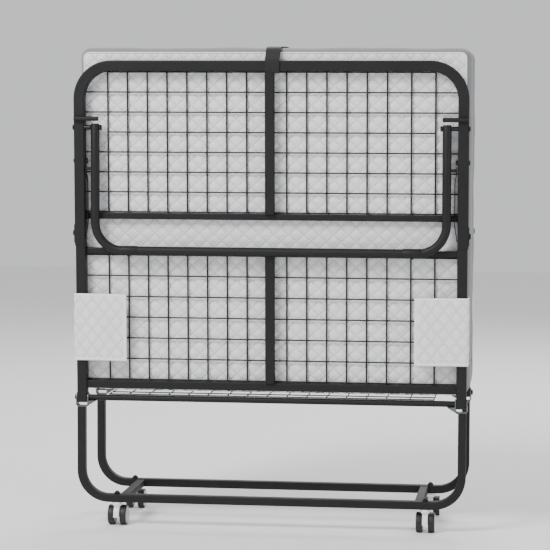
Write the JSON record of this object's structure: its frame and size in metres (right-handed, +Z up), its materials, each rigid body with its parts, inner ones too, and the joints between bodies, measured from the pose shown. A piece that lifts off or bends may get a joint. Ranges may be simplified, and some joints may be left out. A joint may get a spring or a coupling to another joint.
{
  "type": "folding rollaway cot",
  "caption": "Folding rollaway bed stored upright: wire deck halves hinged on a castered base, fold-out legs, quilted mattress folded between them.",
  "frame": {"origin": "on the floor, under the middle of the folded cot", "axes": "+Z up, +X along the width of the cot, +Y from the front deck half to the rear one"},
  "size_m": [0.9906, 0.3314, 1.2054],
  "materials": {
    "dark_coat": "satin dark grey powder coat",
    "black_wire": "satin black coated wire",
    "zinc": "zinc-plated steel, dulled",
    "caster_shell": "white moulded plastic",
    "caster_wheel": "dark moulded tread",
    "quilted_cloth": "light grey quilted polyester",
    "webbing": "woven dark webbing"
  },
  "bodies": {
    "base": {"base_hoop_front": "dark_coat", "base_hoop_rear": "dark_coat", "base_crosspiece_left": "dark_coat", "base_crosspiece_right": "dark_coat", "hinge_bracket_front_left": "zinc", "hinge_bracket_front_right": "zinc", "hinge_bracket_rear_left": "zinc", "hinge_bracket_rear_right": "zinc", "hinge_axle_front": "dark_coat", "hinge_axle_rear": "dark_coat", "base_middle_wires": "black_wire", "mattress_middle": "quilted_cloth"},
    "deck_front": {"front_deck_bent_tube": "dark_coat", "front_deck_side_tube_left": "dark_coat", "front_deck_side_tube_right": "dark_coat", "front_deck_cross_tube_low": "dark_coat", "front_deck_cross_tube_mid": "dark_coat", "front_deck_cross_tube_high": "dark_coat", "front_deck_spine_low": "dark_coat", "front_deck_spine_high": "dark_coat", "front_deck_wire_low": "black_wire", "front_deck_wire_high": "black_wire", "leg_front_pivot_bolt_left": "zinc", "leg_front_pivot_bolt_right": "zinc", "leg_front_clip_left": "zinc", "leg_front_clip_right": "zinc", "mattress_front": "quilted_cloth", "mattress_front_tab_left": "quilted_cloth", "mattress_front_tab_right": "quilted_cloth", "strap_front": "webbing"},
    "leg_front": {"leg_front": "dark_coat"},
    "deck_rear": {"rear_deck_bent_tube": "dark_coat", "rear_deck_side_tube_left": "dark_coat", "rear_deck_side_tube_right": "dark_coat", "rear_deck_cross_tube_low": "dark_coat", "rear_deck_cross_tube_mid": "dark_coat", "rear_deck_cross_tube_high": "dark_coat", "rear_deck_spine_low": "dark_coat", "rear_deck_spine_high": "dark_coat", "rear_deck_wire_low": "black_wire", "rear_deck_wire_high": "black_wire", "leg_rear_pivot_bolt_left": "zinc", "leg_rear_pivot_bolt_right": "zinc", "leg_rear_clip_left": "zinc", "leg_rear_clip_right": "zinc", "mattress_rear": "quilted_cloth", "mattress_rear_tab_left": "quilted_cloth", "mattress_rear_tab_right": "quilted_cloth", "strap_rear": "webbing"},
    "leg_rear": {"leg_rear": "dark_coat"},
    "caster_front_left_swivel": {"caster_front_left_housing": "caster_shell"},
    "caster_front_left_wheels": {"caster_front_left_wheels": "caster_wheel"},
    "caster_front_right_swivel": {"caster_front_right_housing": "caster_shell"},
    "caster_front_right_wheels": {"caster_front_right_wheels": "caster_wheel"},
    "caster_rear_left_swivel": {"caster_rear_left_housing": "caster_shell"},
    "caster_rear_left_wheels": {"caster_rear_left_wheels": "caster_wheel"},
    "caster_rear_right_swivel": {"caster_rear_right_housing": "caster_shell"},
    "caster_rear_right_wheels": {"caster_rear_right_wheels": "caster_wheel"}
  },
  "joints": [
    {"name": "deck_front_fold", "type": "hinge", "parent": "base", "child": "deck_front", "pos_m": [0, -0.118, 0.3235], "axis": [1, 0, 0], "range_deg": [0, 88]},
    {"name": "deck_rear_fold", "type": "hinge", "parent": "base", "child": "deck_rear", "pos_m": [0, 0.118, 0.3235], "axis": [-1, 0, 0], "range_deg": [0, 88]},
    {"name": "leg_front_fold", "type": "hinge", "parent": "deck_front", "child": "leg_front", "pos_m": [0, -0.14866, 1.00084], "axis": [-1, 0, 0], "range_deg": [0, 90]},
    {"name": "leg_rear_fold", "type": "hinge", "parent": "deck_rear", "child": "leg_rear", "pos_m": [0, 0.14866, 1.00084], "axis": [1, 0, 0], "range_deg": [0, 90]},
    {"name": "caster_front_left_swivel", "type": "hinge", "parent": "base", "child": "caster_front_left_swivel", "pos_m": [-0.388, -0.118, 0.06], "axis": [0, 0, 1], "continuous": true},
    {"name": "caster_front_left_roll", "type": "hinge", "parent": "caster_front_left_swivel", "child": "caster_front_left_wheels", "pos_m": [-0.388, -0.104, 0.025], "axis": [1, 0, 0], "continuous": true},
    {"name": "caster_front_right_swivel", "type": "hinge", "parent": "base", "child": "caster_front_right_swivel", "pos_m": [0.388, -0.118, 0.06], "axis": [0, 0, 1], "continuous": true},
    {"name": "caster_front_right_roll", "type": "hinge", "parent": "caster_front_right_swivel", "child": "caster_front_right_wheels", "pos_m": [0.388, -0.104, 0.025], "axis": [1, 0, 0], "continuous": true},
    {"name": "caster_rear_left_swivel", "type": "hinge", "parent": "base", "child": "caster_rear_left_swivel", "pos_m": [-0.388, 0.118, 0.06], "axis": [0, 0, 1], "continuous": true},
    {"name": "caster_rear_left_roll", "type": "hinge", "parent": "caster_rear_left_swivel", "child": "caster_rear_left_wheels", "pos_m": [-0.388, 0.132, 0.025], "axis": [1, 0, 0], "continuous": true},
    {"name": "caster_rear_right_swivel", "type": "hinge", "parent": "base", "child": "caster_rear_right_swivel", "pos_m": [0.388, 0.118, 0.06], "axis": [0, 0, 1], "continuous": true},
    {"name": "caster_rear_right_roll", "type": "hinge", "parent": "caster_rear_right_swivel", "child": "caster_rear_right_wheels", "pos_m": [0.388, 0.132, 0.025], "axis": [1, 0, 0], "continuous": true}
  ]
}
